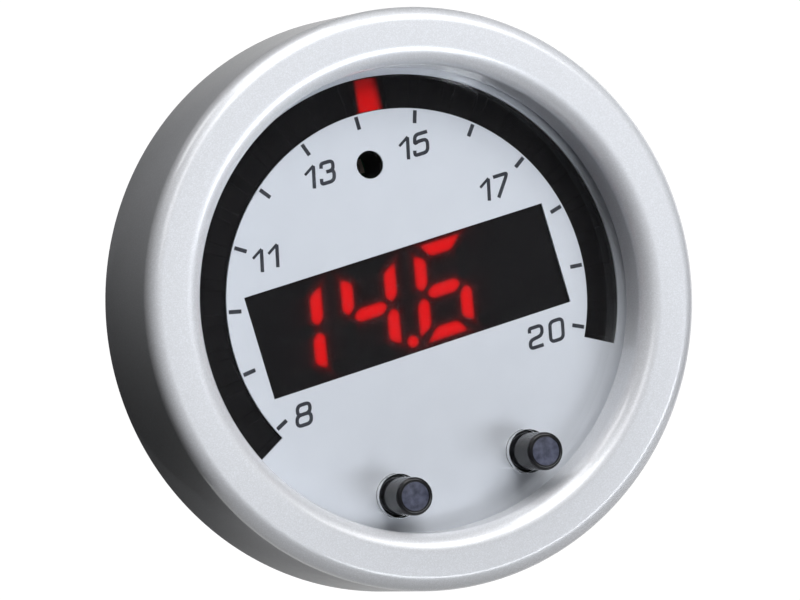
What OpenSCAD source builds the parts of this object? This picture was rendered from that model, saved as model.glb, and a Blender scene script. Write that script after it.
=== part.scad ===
// Digital air fuel ratio gauge head for a round panel hole.
// Everything is drawn with the dial axis along Z, the panel seat at Z = 0 and the
// dial towards +Z. stand_up() then turns it so that the dial looks along -Y, the
// top of the dial is +Z, and the seat against the panel stays at Y = 0.

/* [Dial] */
// Inner radius of the curved light band
band_in_r = 19.7; // [19.2:0.1:20]
// Radial width of the curved light band
band_w = 3.5; // [2.8:0.1:3.6]
// Angle that the light band spans
band_angle = 236.4; // [216:0.4:238]
// Number of lights in the band
light_count = 24; // [16:2:26]
// Which light is lit, counted anticlockwise from the right hand end of the band
lit_light_count = 12; // [1:1:16]
// Face left between the corners of the display window and the light band
window_margin = 1.96; // [1.6:0.02:2.8]
// Height of the display window
window_h = 10.7; // [9.9:0.1:11.4]
// Radius of the hole over the light sensor
sensor_hole_r = 1.44; // [1.2:0.02:1.7]
// Height of the light sensor over the dial centre, as a share of the band's radius
sensor_up_share = 0.733; // [0.68:0.001:0.76]
// Thickness of the printed faceplate
face_t = 0.3; // [0.2:0.05:0.6]
// Thickness of the smoked filter behind the faceplate
filter_t = 0.8; // [0.6:0.1:1.4]
// Thickness of the clear lens
lens_t = 1.5; // [1:0.1:2.2]
// Edge of the lens, faceplate and filter that is hidden under the bezel lip
lens_lip = 1.65; // [1.4:0.05:2]

/* [Bezel] */
// Gap between the light band and the wall of the bezel opening
opening_margin = 0.55; // [0.3:0.05:1]
// Depth from the crest of the bezel to the lens
lens_depth = 4.84; // [3.8:0.1:5.6]
// Radius of the rounding into the opening
inner_round = 1.95; // [1.6:0.05:2.6]
// Width of the flat crest between the two roundings
crest_w = 2.3; // [2:0.1:3.6]
// Radius of the rounding at the outer shoulder
shoulder_round = 1.6; // [1.4:0.1:2.2]
// How much wider the bezel is at the panel than at the shoulder, on the radius
bezel_draft = 0.5; // [0:0.05:0.9]

/* [Housing] */
// How far the cup reaches past the lens pocket, on the radius
cup_rim = 0.5; // [0.4:0.05:0.8]
// Depth of the cup behind the panel seat
cup_depth = 5.1; // [4.4:0.1:6]
// Wall of the cup
cup_wall = 1.4; // [1:0.1:1.6]
// Thickness of the rear wall of the cup
rear_wall = 1.2; // [1:0.1:1.6]
// How far the neck ring reaches past the cup, on the radius
neck_rim = 1.5; // [1.2:0.1:1.9]
// Step in the cup that the neck ring is bonded against
ring_step = 0.8; // [0.7:0.05:0.9]
// Height of the cup's spigot inside the neck ring
spigot_h = 1.4; // [1:0.1:2]
// Diameter of the mounting studs
stud_d = 4; // [3:0.5:5]
// Distance from the wall of the cup to the middle of a stud
stud_inset = 7; // [6.2:0.1:8]
// Length of the studs behind the cup
stud_reach = 14; // [8:1:25]

/* [Display] */
// Gap over and under the digits in their window
digit_gap = 0.4; // [0.3:0.05:1]
// Gap before the first digit and after the last
digit_side_gap = 0.2; // [0.1:0.05:0.5]
// How far the row of digits sits to the right of the middle
digit_shift = 0.16; // [0:0.01:0.2]
// Distance between the upright bars of a digit, as a share of the room for a digit
digit_w_share = 0.583; // [0.54:0.001:0.6]
// Width of a bar of a digit, as a share of the room for a digit
bar_w_share = 0.17; // [0.14:0.005:0.18]
// Radius of the decimal point, as a share of the room for a digit
point_r_share = 0.083; // [0.07:0.001:0.086]
// Lean of the digits to the right
lean_angle = 12; // [0:1:14]
// How far the display block reaches over and under its window
display_rim = 0.85; // [0.6:0.05:1.1]

/* [Keys] */
// Diameter of the two keys
key_d = 3.9; // [3:0.1:4.2]
// Distance of each key from the upright centre line, as a share of the band's radius
key_side_share = 0.379; // [0.34:0.001:0.4]
// Distance of the keys below the dial centre, as a share of the band's radius
key_down_share = 0.945; // [0.92:0.001:0.96]
// How far the keys stand out of the lens
key_proud = 4.4; // [3:0.1:5]
// How far a key travels when it is pressed
key_travel = 0.3; // [0.2:0.05:0.45]
// Radial gap between a key and its guide
key_fit = 0.08; // [0.03:0.01:0.1]
// Radial gap between a key and the holes in the lens, faceplate and filter
key_gap = 0.3; // [0.2:0.05:0.4]
// Side of a square switch
switch_w = 6; // [5.6:0.1:6.2]
// Height of a switch without its plunger
switch_h = 1.8; // [1.6:0.1:2]
// Diameter of a switch plunger
plunger_d = 2.5; // [2:0.1:2.8]

/* [Boards] */
// Thickness of both circuit boards
board_t = 1.6; // [1.2:0.1:1.8]
// Space between the two boards
link_gap = 1.4; // [1.2:0.1:2]
// Space between the main board and the rear wall
rear_gap = 1.5; // [1.4:0.1:2]
// Depth of the light box between the display board and the filter
box_t = 4.36; // [4.2:0.05:5]
// Diameter of the board screws
screw_d = 2; // [1.6:0.1:2.2]

/* [Sockets] */
// Distance of both sockets from the dial centre, as a share of the cup's radius
socket_share = 0.5; // [0.49:0.005:0.52]
// How far the sockets stand out behind the main board
socket_reach = 5.6; // [5.4:0.1:7]
// Distance between neighbouring pins in a socket
pin_pitch = 3; // [2.6:0.1:3]
// Side of a square socket pin
pin_w = 0.64; // [0.5:0.02:0.8]

/* [Hidden] */
$fn = 96;
round_facets = 180;
tip_facets = 48;
hex_sides = 6;

// Cuts run past the faces they open by this much
overrun = 0.4;

// Radii, from the dial outwards
band_out_r = band_in_r + band_w;
opening_r = band_out_r + opening_margin;
lens_r = opening_r + lens_lip;
slip_gap = 0.1;
pocket_r = lens_r + slip_gap;
cup_r = pocket_r + cup_rim;
ring_seat_r = cup_r - ring_step;
neck_fit = 0.05;
neck_r = cup_r + neck_rim;
bezel_bore_r = neck_r + slip_gap;
bezel_front_r = opening_r + inner_round + crest_w + shoulder_round;
bezel_back_r = bezel_front_r + bezel_draft;
back_edge_round = 0.3;
cup_bore_r = cup_r - cup_wall;
board_gap = 0.3;
board_r = min(cup_bore_r, lens_r) - board_gap;
light_box_r = lens_r - 0.36 * lens_lip;

// Levels along the axis, from the rear of the cup to the crest of the bezel
cup_back_z = -cup_depth;
cup_floor_z = cup_back_z + rear_wall;
main_z = cup_floor_z + rear_gap;
link_z = main_z + board_t;
display_board_z = link_z + link_gap;
box_z = display_board_z + board_t;
filter_z = box_z + box_t;
face_z = filter_z + filter_t;
lens_z = face_z + face_t;
lens_top_z = lens_z + lens_t;
crest_z = lens_top_z + lens_depth;
seal_t = 0.8;
seal_side_gap = 0.3;

// Light band
light_angle = band_angle / light_count;
light_wall = 1;
light_r = band_in_r + band_w / 2;
wall_angle = light_wall / light_r * 180 / PI;
pipe_fit = 0.12;
led_w = 2;
led_d = 1.2;
led_h = 0.5;
led_window_h = 0.25;
led_window_share = 0.6;
pipe_lift = 0.3;
band_end_angle = 90 - band_angle / 2;

// Display window and block
window_w = 2 * (sqrt(band_in_r * band_in_r - window_h * window_h / 4) - window_margin);
digit_count = 4;
digit_h = window_h - 2 * digit_gap;
digit_pitch = (window_w - 2 * digit_side_gap) / digit_count;
digit_w = digit_w_share * digit_pitch;
bar_w = bar_w_share * digit_pitch;
point_r = point_r_share * digit_pitch;
display_side = 0.3;
display_w = window_w + 2 * display_side;
display_h = window_h + 2 * display_rim;
display_gap = 0.1;
display_top_z = filter_z - display_gap;
display_fit = 0.15;
segment_depth = 0.5;
segment_gap = 0.12;
tip_share = 0.45;
point_shift_share = 0.87;
mitre_share = 0.25;
middle_reach_share = 0.27;
display_chamfer = 0.3;
display_pin_r = 0.25;
display_pin_count = 6;
display_pin_pitch = display_w / (display_pin_count + 1);
display_pin_inset = 1.1;
display_pin_tail = 0.5;
pin_hole_fit = 0.12;

// Bars that are lit: 1, 4 with its point, and 6, then a dark digit.
// The order in a digit is top, top right, bottom right, bottom, bottom left,
// top left, middle, point.
lit_bars = [
  [0, 1, 1, 0, 0, 0, 0, 0],
  [0, 1, 1, 0, 0, 1, 1, 1],
  [1, 0, 1, 1, 1, 1, 1, 0],
  [0, 0, 0, 0, 0, 0, 0, 0]
];

// Keys and switches
key_x = key_side_share * band_in_r;
key_y = key_down_share * band_in_r;
key_r = key_d / 2;
key_hole_r = key_r + key_gap;
key_rim_round = 0.35;
key_dish_depth = 0.14;
key_dish_r = key_r - 1.3 * key_rim_round;
key_flange_r = key_r + 0.9;
key_flange_t = 0.7;
key_lift = 0.05;
plunger_proud = 0.7;
plunger_r = plunger_d / 2;
plunger_fit = 0.06;
plunger_foot_r = plunger_r + 0.7;
plunger_foot_t = 0.4;
switch_cover_t = 0.3;
switch_floor_t = 0.35;
switch_room = 0.3;
switch_peg_r = 0.5;
switch_peg_h = 0.25;
switch_leg_w = 0.7;
switch_leg_t = 0.2;
switch_leg_reach = 0.25;
switch_top_z = box_z + switch_h;
plunger_top_z = switch_top_z + plunger_proud;
key_ceiling_z = plunger_top_z + key_flange_t + key_lift;
key_top_z = lens_top_z + key_proud;

// Index key that lines up the faceplate and filter
index_r = 0.7;
index_fit = 0.1;

// Screws and the bosses they go into, as shares of the band's radius
screw_places_shares = [[0.558, 0.635], [-0.558, 0.635], [0.772, -0.772], [-0.772, -0.772]];
screw_r = screw_d / 2;
screw_fit = 0.05;
screw_head_r = 0.95 * screw_d;
screw_head_h = 0.6 * screw_d;
screw_sink = 0.25;
screw_drive_r = 0.45 * screw_d;
screw_drive_depth = 0.35 * screw_d;
screw_point = 0.4 * screw_d;
screw_end_z = cup_floor_z + 0.6 * rear_gap;
boss_wall = 1.4;
boss_r = screw_r + boss_wall;
boss_step = 0.8;
boss_fit = 0.1;

// Sockets: each has two rows of pins and one key rib
socket_wall = 0.9;
socket_side = 1.45;
socket_base_t = 1;
socket_rows_count = 2;
harness_pins_count = 3;
bus_pins_count = 2;
socket_fit = 0.15;
socket_rib_w = 0.8;
socket_rib_d = 0.45;
latch_w = 3;
latch_t = 0.6;
latch_h = 1.4;
pin_short = 1;
socket_y = socket_share * cup_r;

// Link between the boards
link_pin_r = 0.3;
link_pin_pitch = 1.27;
link_pin_count = 10;
link_w = 2.2;
link_down_share = 0.528;
link_y = link_down_share * band_in_r;

// Studs
stud_r = stud_d / 2;
stud_x = cup_r - stud_inset;
stud_head_r = 0.75 * stud_d;
stud_head_h = 0.9;
stud_fit = 0.05;
stud_boss_wall = 1.2;
stud_boss_top_z = main_z - 0.1;
stud_tip = 0.12 * stud_d;
stud_shoulder = 0.4;
stud_groove_w = 0.6;
stud_groove_depth = 0.25;
stud_pad_h = 0.5;

// Chips
chip_w = 9;
chip_h = 1.1;
chip_lift = 0.1;
chip_lead_count = 8;
chip_lead_w = 0.35;
chip_lead_t = 0.15;
chip_lead_reach = 0.9;
bus_chip_shares = [0.42, 0.19];
bus_chip_w = 3.9;
bus_chip_l = 4.9;
bus_lead_count = 4;
regulator_shares = [-0.428, 0.19];
regulator_w = 6.5;
regulator_l = 3.5;
coil_shares = [-0.428, -0.206];
coil_w = 5.6;
coil_h = 1.2;
coil_round = 0.8;

// Sizes of the small parts on the boards and the cup
sensor_y = sensor_up_share * band_in_r;
cup_chamfer = 0.5;
board_notch_r = 1.2;
sensor_w = 2;
sensor_l = 1.5;
sensor_h = 0.6;
sensor_dome_r = 0.6;

module stand_up() {
  rotate([90, 0, 0])
    children();
}

// A ring sector in the light band, centred on an angle, with its sides drawn in
module band_sector(middle, span, inset) {
  reach = 2 * band_out_r;
  difference() {
    circle(r = band_out_r - inset);
    circle(r = band_in_r + inset);
    rotate(middle + span / 2)
      translate([-reach, 0])
        square([2 * reach, reach]);
    rotate(middle - span / 2)
      translate([-reach, -reach])
        square([2 * reach, reach]);
  }
}

// The whole band is wider than half a turn, so the part below its ends is cut off
module whole_band() {
  reach = 2 * band_out_r;
  left = 90 + band_angle / 2;
  right = 90 - band_angle / 2;
  difference() {
    circle(r = band_out_r);
    circle(r = band_in_r);
    polygon([
      [0, 0],
      reach * [cos(left), sin(left)],
      reach * [0, -1],
      reach * [cos(right), sin(right)]
    ]);
  }
}

function light_middle(place) = band_end_angle + (place + 0.5) * light_angle;

module key_holes(r) {
  for (side = [-1, 1])
    translate([side * key_x, -key_y])
      circle(r = r);
}

module index_notch() {
  translate([0, -lens_r])
    circle(r = index_r + index_fit);
}

module screw_places() {
  for (share = screw_places_shares)
    translate(band_in_r * share)
      children();
}

module bezel() {
  shoulder_z = crest_z - shoulder_round;
  round_z = crest_z - inner_round;
  crest_in_r = opening_r + inner_round;
  crest_out_r = bezel_front_r - shoulder_round;
  seal_z = face_z + seal_t;
  color("silver")
    stand_up()
      rotate_extrude($fn = round_facets)
        union() {
          polygon([
            [bezel_bore_r, 0],
            [bezel_back_r - back_edge_round, 0],
            [bezel_back_r, back_edge_round],
            [bezel_front_r, shoulder_z],
            [crest_out_r, shoulder_z],
            [crest_out_r, crest_z],
            [crest_in_r, crest_z],
            [crest_in_r, round_z],
            [opening_r, round_z],
            [opening_r, lens_top_z],
            [pocket_r, lens_top_z],
            [pocket_r, seal_z],
            [bezel_bore_r, seal_z]
          ]);
          translate([crest_out_r, shoulder_z])
            circle(r = shoulder_round);
          translate([crest_in_r, round_z])
            circle(r = inner_round);
        }
}

module lens() {
  color("lightcyan", 0.3)
    stand_up()
      translate([0, 0, lens_z])
        linear_extrude(lens_t)
          difference() {
            circle(r = lens_r);
            key_holes(key_hole_r);
          }
}

module bezel_seal() {
  seal_out_r = neck_r - seal_side_gap;
  seal_in_r = pocket_r + seal_side_gap;
  color("black")
    stand_up()
      translate([0, 0, face_z])
        linear_extrude(seal_t)
          difference() {
            circle(r = seal_out_r);
            circle(r = seal_in_r);
          }
}

module faceplate() {
  color("aliceblue")
    stand_up()
      translate([0, 0, face_z])
        linear_extrude(face_t)
          difference() {
            circle(r = lens_r);
            whole_band();
            square([window_w, window_h], center = true);
            translate([0, sensor_y])
              circle(r = sensor_hole_r);
            key_holes(key_hole_r);
            index_notch();
          }
}

module smoke_filter() {
  color("dimgray", 0.8)
    stand_up()
      translate([0, 0, filter_z])
        linear_extrude(filter_t)
          difference() {
            circle(r = lens_r);
            translate([0, sensor_y])
              circle(r = sensor_hole_r);
            key_holes(key_hole_r);
            index_notch();
          }
}

// Moulded block with a pocket for every light, the display opening, the sensor
// tube, the key guides over the switches, and recessed holes for the screws
module light_box() {
  pocket_angle = light_angle - wall_angle;
  switch_bay = switch_w + 2 * switch_room;
  color([0.12, 0.12, 0.13])
    stand_up()
      difference() {
        translate([0, 0, box_z])
          cylinder(r = light_box_r, h = box_t);
        translate([0, 0, box_z - overrun])
          linear_extrude(box_t + 2 * overrun) {
            for (place = [0 : light_count - 1])
              band_sector(light_middle(place), pocket_angle, 0);
            square([display_w + 2 * display_fit, display_h + 2 * display_fit], center = true);
            translate([0, sensor_y])
              circle(r = sensor_hole_r);
            screw_places()
              circle(r = screw_r + boss_fit);
            key_holes(key_r + key_fit);
          }
        translate([0, 0, box_z - overrun])
          linear_extrude(key_ceiling_z - box_z + overrun)
            for (side = [-1, 1])
              translate([side * key_x, -key_y])
                square(switch_bay, center = true);
        translate([0, 0, filter_z - screw_head_h - screw_sink])
          linear_extrude(screw_head_h + screw_sink + overrun)
            screw_places()
              circle(r = screw_head_r + boss_fit);
      }
}

module light_pipe(place) {
  pipe_z = box_z + led_h + led_window_h + pipe_lift;
  pipe_angle = light_angle - wall_angle - 2 * pipe_fit / light_r * 180 / PI;
  stand_up()
    translate([0, 0, pipe_z])
      linear_extrude(filter_z - pipe_z)
        band_sector(light_middle(place), pipe_angle, pipe_fit);
}

module bar_light_pipes() {
  color("gray")
    for (place = [0 : light_count - 1])
      if (place != lit_light_count - 1)
        light_pipe(place);
}

module lit_light_pipe() {
  color("red")
    light_pipe(lit_light_count - 1);
}

module bar_leds() {
  color("ivory")
    stand_up()
      for (place = [0 : light_count - 1])
        rotate(light_middle(place))
          translate([light_r, 0, box_z]) {
            translate([-led_d / 2, -led_w / 2, 0])
              cube([led_d, led_w, led_h]);
            translate([-led_d * led_window_share / 2, -led_w * led_window_share / 2, 0])
              cube([led_d * led_window_share, led_w * led_window_share, led_h + led_window_h]);
          }
}

// A point of a digit, leaned to the right in proportion to its height
function leaned(x, y) = [x + y * tan(lean_angle), y];

// One bar of a digit. Bars in the middle have two points, bars at the rim
// are mitred towards the corner of the digit
module digit_bar(kind) {
  half_w = bar_w / 2;
  half_x = digit_w / 2;
  half_y = (digit_h - bar_w) / 2;
  tip = tip_share * bar_w;
  if (kind == 0 || kind == 3) {
    up = kind == 0 ? 1 : -1;
    outer = half_x + half_w - segment_gap - tip;
    inner = half_x - half_w - segment_gap - mitre_share * bar_w;
    polygon([
      leaned(-outer, up * (half_y + half_w)),
      leaned(outer, up * (half_y + half_w)),
      leaned(inner, up * (half_y - half_w)),
      leaned(-inner, up * (half_y - half_w))
    ]);
  }
  if (kind == 1 || kind == 2 || kind == 4 || kind == 5) {
    up = (kind == 1 || kind == 5) ? 1 : -1;
    side = (kind == 1 || kind == 2) ? 1 : -1;
    near = 2 * segment_gap;
    far_outer = half_y + half_w - segment_gap - tip;
    far_inner = half_y - half_w - segment_gap;
    polygon([
      leaned(side * (half_x - half_w), up * (near + tip)),
      leaned(side * half_x, up * near),
      leaned(side * (half_x + half_w), up * (near + tip)),
      leaned(side * (half_x + half_w), up * far_outer),
      leaned(side * (half_x - half_w), up * far_inner)
    ]);
  }
  if (kind == 6) {
    outer = half_x - half_w - segment_gap + middle_reach_share * bar_w;
    inner = outer - tip;
    polygon([
      leaned(-outer, 0),
      leaned(-inner, half_w),
      leaned(inner, half_w),
      leaned(outer, 0),
      leaned(inner, -half_w),
      leaned(-inner, -half_w)
    ]);
  }
  if (kind == 7)
    translate(leaned(digit_w / 2 + point_shift_share * bar_w + point_r, point_r - digit_h / 2))
      circle(r = point_r);
}

// The bars of all digits that are in the wanted state: 1 for lit, 0 for dark
module digit_bars(state) {
  for (place = [0 : digit_count - 1])
    translate([(place - (digit_count - 1) / 2) * digit_pitch + digit_shift, 0])
      for (kind = [0 : 7])
        if (lit_bars[place][kind] == state)
          digit_bar(kind);
}

module segments(state) {
  stand_up()
    translate([0, 0, display_top_z - segment_depth])
      linear_extrude(segment_depth)
        digit_bars(state);
}

module lit_segments() {
  color("red")
    segments(1);
}

module dark_segments() {
  color([0.2, 0.18, 0.18])
    segments(0);
}

module display_block() {
  body_h = display_top_z - box_z;
  color([0.08, 0.08, 0.08])
    stand_up()
      difference() {
        translate([-display_w / 2, -display_h / 2, box_z])
          cube([display_w, display_h, body_h]);
        translate([0, 0, display_top_z - segment_depth])
          linear_extrude(segment_depth + overrun) {
            digit_bars(1);
            digit_bars(0);
          }
        for (side = [-1, 1])
          translate([0, side * display_h / 2, box_z])
            rotate([45, 0, 0])
              cube([2 * display_w, display_chamfer, display_chamfer], center = true);
      }
}

module display_pin_places() {
  for (side = [-1, 1], place = [0 : display_pin_count - 1])
    translate([
      (place - (display_pin_count - 1) / 2) * display_pin_pitch,
      side * (display_h / 2 - display_pin_inset)
    ])
      children();
}

module display_pins() {
  pin_bottom_z = display_board_z - display_pin_tail;
  color("gold")
    stand_up()
      translate([0, 0, pin_bottom_z])
        linear_extrude(box_z - pin_bottom_z)
          display_pin_places()
            circle(r = display_pin_r);
}

module link_pin_places() {
  for (place = [0 : link_pin_count - 1])
    translate([(place - (link_pin_count - 1) / 2) * link_pin_pitch, -link_y])
      children();
}

// Outline of both boards, with a notch at the bottom that marks their way up
module board_outline() {
  difference() {
    circle(r = board_r);
    translate([0, -board_r])
      circle(r = board_notch_r);
    link_pin_places()
      circle(r = link_pin_r);
  }
}

module display_board() {
  color("darkgreen")
    stand_up()
      translate([0, 0, display_board_z])
        linear_extrude(board_t)
          difference() {
            board_outline();
            display_pin_places()
              circle(r = display_pin_r + pin_hole_fit);
            screw_places()
              circle(r = screw_r + boss_fit);
          }
}

module light_sensor() {
  color([0.15, 0.12, 0.1])
    stand_up()
      translate([0, sensor_y, box_z])
        union() {
          translate([-sensor_w / 2, -sensor_l / 2, 0])
            cube([sensor_w, sensor_l, sensor_h]);
          translate([0, 0, sensor_h])
            intersection() {
              sphere(r = sensor_dome_r);
              cylinder(r = sensor_dome_r, h = sensor_dome_r);
            }
        }
}

// Hollow switch: a square body with four rivet heads, four legs, and a cover
// with a round hole for the plunger
module switch_body(side) {
  cavity_r = plunger_foot_r + slip_gap;
  peg_at = switch_w / 2 - 1.5 * switch_peg_r;
  color([0.75, 0.75, 0.78])
    stand_up()
      translate([side * key_x, -key_y, box_z])
        difference() {
          union() {
            translate([-switch_w / 2, -switch_w / 2, 0])
              cube([switch_w, switch_w, switch_h]);
            for (x = [-1, 1], y = [-1, 1])
              translate([x * peg_at, y * peg_at, 0])
                cylinder(r = switch_peg_r, h = switch_h + switch_peg_h);
            for (x = [-1, 1])
              translate([x * peg_at - switch_leg_w / 2, -switch_w / 2 - switch_leg_reach, 0])
                cube([switch_leg_w, switch_w + 2 * switch_leg_reach, switch_leg_t]);
          }
          translate([0, 0, switch_floor_t])
            cylinder(r = cavity_r, h = switch_h - switch_cover_t - switch_floor_t);
          translate([0, 0, switch_floor_t])
            cylinder(r = plunger_r + plunger_fit, h = switch_h + overrun);
        }
}

module mode_switch() {
  switch_body(-1);
}

module select_switch() {
  switch_body(1);
}

// Plunger with a wide foot that keeps it inside its switch
module switch_plunger(side) {
  foot_top_z = switch_top_z - switch_cover_t - key_lift;
  color("black")
    stand_up()
      translate([side * key_x, -key_y, 0])
        union() {
          translate([0, 0, foot_top_z - plunger_foot_t])
            cylinder(r = plunger_foot_r, h = plunger_foot_t);
          translate([0, 0, foot_top_z - plunger_foot_t])
            cylinder(r = plunger_r, h = plunger_top_z - foot_top_z + plunger_foot_t);
        }
}

module mode_plunger() {
  switch_plunger(-1);
}

module select_plunger() {
  switch_plunger(1);
}

// Long round key with a flange that holds it behind its guide, a rounded rim
// and a shallow dish in its end
module key_cap(side) {
  dish_r = (key_dish_r * key_dish_r + key_dish_depth * key_dish_depth) / (2 * key_dish_depth);
  rim_z = key_top_z - key_rim_round;
  color([0.06, 0.06, 0.07])
    stand_up()
      translate([side * key_x, -key_y, 0])
        difference() {
          rotate_extrude()
            union() {
              translate([0, plunger_top_z])
                square([key_flange_r, key_flange_t]);
              translate([0, plunger_top_z])
                square([key_r, rim_z - plunger_top_z]);
              translate([0, plunger_top_z])
                square([key_r - key_rim_round, key_top_z - plunger_top_z]);
              translate([key_r - key_rim_round, rim_z])
                circle(r = key_rim_round);
            }
          translate([0, 0, key_top_z - key_dish_depth + dish_r])
            sphere(r = dish_r);
        }
}

module mode_button() {
  key_cap(-1);
}

module select_button() {
  key_cap(1);
}

module board_link() {
  link_l = link_pin_count * link_pin_pitch;
  color("black")
    stand_up()
      translate([0, 0, link_z])
        linear_extrude(link_gap)
          difference() {
            translate([0, -link_y])
              square([link_l, link_w], center = true);
            link_pin_places()
              circle(r = link_pin_r);
          }
}

module link_pins() {
  color("gold")
    stand_up()
      translate([0, 0, main_z])
        linear_extrude(box_z - main_z)
          link_pin_places()
            circle(r = link_pin_r);
}

module main_board() {
  color("darkgreen")
    stand_up()
      translate([0, 0, main_z])
        linear_extrude(board_t)
          difference() {
            board_outline();
            screw_places()
              circle(r = boss_r + boss_fit);
          }
}

// Leads of a chip on two opposite sides, bent down to the board
module chip_leads(count, body_w, body_l) {
  pitch = body_l / count;
  for (side = [-1, 1], place = [0 : count - 1])
    translate([side * body_w / 2, (place - (count - 1) / 2) * pitch, 0]) {
      translate([-chip_lead_w, -chip_lead_w / 2, 0])
        translate([side * chip_lead_reach / 2, 0, 0])
          cube([2 * chip_lead_w, chip_lead_w, chip_lead_t]);
      translate([min(0, side * chip_lead_reach / 2), -chip_lead_w / 2, 0])
        cube([chip_lead_reach / 2, chip_lead_w, chip_h / 2]);
    }
}

// A chip under the main board, drawn with its board side at the bottom
module under_main_board() {
  translate([0, 0, main_z])
    mirror([0, 0, 1])
      children();
}

module chip_body(w, l) {
  translate([-w / 2, -l / 2, chip_lift])
    cube([w, l, chip_h - chip_lift]);
}

module processor_chip() {
  color([0.1, 0.1, 0.11])
    stand_up()
      under_main_board()
        union() {
          chip_body(chip_w, chip_w);
          chip_leads(chip_lead_count, chip_w, chip_w - 2 * chip_lead_w);
          rotate(90)
            chip_leads(chip_lead_count, chip_w, chip_w - 2 * chip_lead_w);
        }
}

module bus_chip() {
  color([0.1, 0.1, 0.11])
    stand_up()
      under_main_board()
        translate(board_r * bus_chip_shares)
          union() {
            chip_body(bus_chip_w, bus_chip_l);
            chip_leads(bus_lead_count, bus_chip_w, bus_chip_l);
          }
}

// Regulator with a broad heat tab on one side and three legs on the other
module regulator() {
  leg_pitch = regulator_w / 3;
  color([0.1, 0.1, 0.11])
    stand_up()
      under_main_board()
        translate(board_r * regulator_shares)
          union() {
            chip_body(regulator_w, regulator_l);
            translate([-leg_pitch / 2, regulator_l / 2 - chip_lead_w, 0])
              cube([leg_pitch, chip_lead_reach + chip_lead_w, 2 * chip_lead_t]);
            for (place = [-1 : 1])
              translate([
                place * leg_pitch - chip_lead_w,
                -regulator_l / 2 - chip_lead_reach,
                0
              ])
                cube([2 * chip_lead_w, chip_lead_reach + chip_lead_w, 2 * chip_lead_t]);
          }
}

module power_coil() {
  color([0.2, 0.2, 0.21])
    stand_up()
      under_main_board()
        translate(board_r * coil_shares)
          difference() {
            translate([-coil_w / 2, -coil_w / 2, 0])
              cube([coil_w, coil_w, coil_h]);
            for (corner = [0 : 3])
              rotate(90 * corner + 45)
                translate([coil_w / sqrt(2) - coil_round, -coil_w / 2, -overrun])
                  cube([coil_w, coil_w, coil_h + 2 * overrun]);
          }
}

function socket_w(pins) = (pins - 1) * pin_pitch + pin_w + 2 * (socket_side + socket_wall);

module socket_pin_places(pins) {
  for (row = [0 : socket_rows_count - 1], place = [0 : pins - 1])
    translate([
      (place - (pins - 1) / 2) * pin_pitch,
      (row - (socket_rows_count - 1) / 2) * pin_pitch
    ])
      children();
}

// Shrouded socket with a key rib inside and a latch ramp on its outer side
module socket(pins) {
  w = socket_w(pins);
  h = socket_w(socket_rows_count);
  stand_up()
    under_main_board()
      difference() {
        union() {
          translate([-w / 2, -h / 2, 0])
            cube([w, h, socket_reach]);
          translate([-latch_w / 2, h / 2, socket_reach - latch_h])
            rotate([90, 0, 90])
              linear_extrude(latch_w)
                polygon([[0, 0], [latch_t, 0], [0, latch_h]]);
        }
        translate([0, 0, socket_base_t])
          linear_extrude(socket_reach)
            difference() {
              square([w - 2 * socket_wall, h - 2 * socket_wall], center = true);
              translate([-socket_rib_w / 2, h / 2 - socket_wall - socket_rib_d])
                square([socket_rib_w, socket_wall]);
            }
        translate([0, 0, -overrun])
          linear_extrude(socket_base_t + 2 * overrun)
            socket_pin_places(pins)
              square(pin_w, center = true);
      }
}

module socket_pins(pins) {
  color("gold")
    stand_up()
      under_main_board()
        linear_extrude(socket_reach - pin_short)
          socket_pin_places(pins)
            square(pin_w, center = true);
}

module at_harness() {
  translate([0, 0, socket_y])
    children();
}

module at_bus() {
  translate([0, 0, -socket_y])
    children();
}

module harness_socket() {
  color("black")
    at_harness()
      socket(harness_pins_count);
}

module harness_pins() {
  at_harness()
    socket_pins(harness_pins_count);
}

module bus_socket() {
  color("black")
    at_bus()
      socket(bus_pins_count);
}

module bus_pins() {
  at_bus()
    socket_pins(bus_pins_count);
}

module socket_cut(pins, y) {
  w = socket_w(pins) + 2 * socket_fit;
  h = socket_w(socket_rows_count) + 2 * (socket_fit + latch_t);
  translate([0, y, cup_back_z - stud_pad_h - overrun])
    linear_extrude(rear_wall + stud_pad_h + 2 * overrun)
      square([w, h], center = true);
}

// Cup that goes through the panel. Its bosses carry both boards, its rear wall
// has an opening for each socket, and the studs are moulded into it
module housing() {
  stud_boss_r = stud_head_r + stud_boss_wall;
  color([0.13, 0.13, 0.14])
    stand_up()
      difference() {
        union() {
          difference() {
            rotate_extrude($fn = round_facets)
              polygon([
                [0, cup_back_z],
                [cup_r - cup_chamfer, cup_back_z],
                [cup_r, cup_back_z + cup_chamfer],
                [cup_r, 0],
                [ring_seat_r, 0],
                [ring_seat_r, spigot_h],
                [0, spigot_h]
              ]);
            translate([0, 0, cup_floor_z])
              cylinder(r = cup_bore_r, h = spigot_h - cup_floor_z + overrun);
          }
          screw_places() {
            translate([0, 0, cup_floor_z])
              cylinder(r = boss_r, h = display_board_z - cup_floor_z);
            translate([0, 0, cup_floor_z])
              cylinder(r = boss_r + boss_step, h = main_z - cup_floor_z);
          }
          for (side = [-1, 1])
            translate([side * stud_x, 0, cup_back_z - stud_pad_h])
              cylinder(r = stud_boss_r, h = stud_boss_top_z - cup_back_z + stud_pad_h);
        }
        screw_places()
          translate([0, 0, screw_end_z - overrun])
            cylinder(r = screw_r + screw_fit, h = display_board_z - screw_end_z + 2 * overrun);
        for (side = [-1, 1])
          translate([side * stud_x, 0, 0]) {
            translate([0, 0, cup_back_z - stud_pad_h - overrun])
              cylinder(r = stud_r + stud_shoulder + stud_fit, h = cup_depth + stud_pad_h);
            translate([0, 0, stud_boss_top_z - stud_head_h])
              cylinder(r = stud_head_r + stud_fit, h = stud_head_h + overrun);
          }
        socket_cut(harness_pins_count, socket_y);
        socket_cut(bus_pins_count, -socket_y);
      }
}

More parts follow.
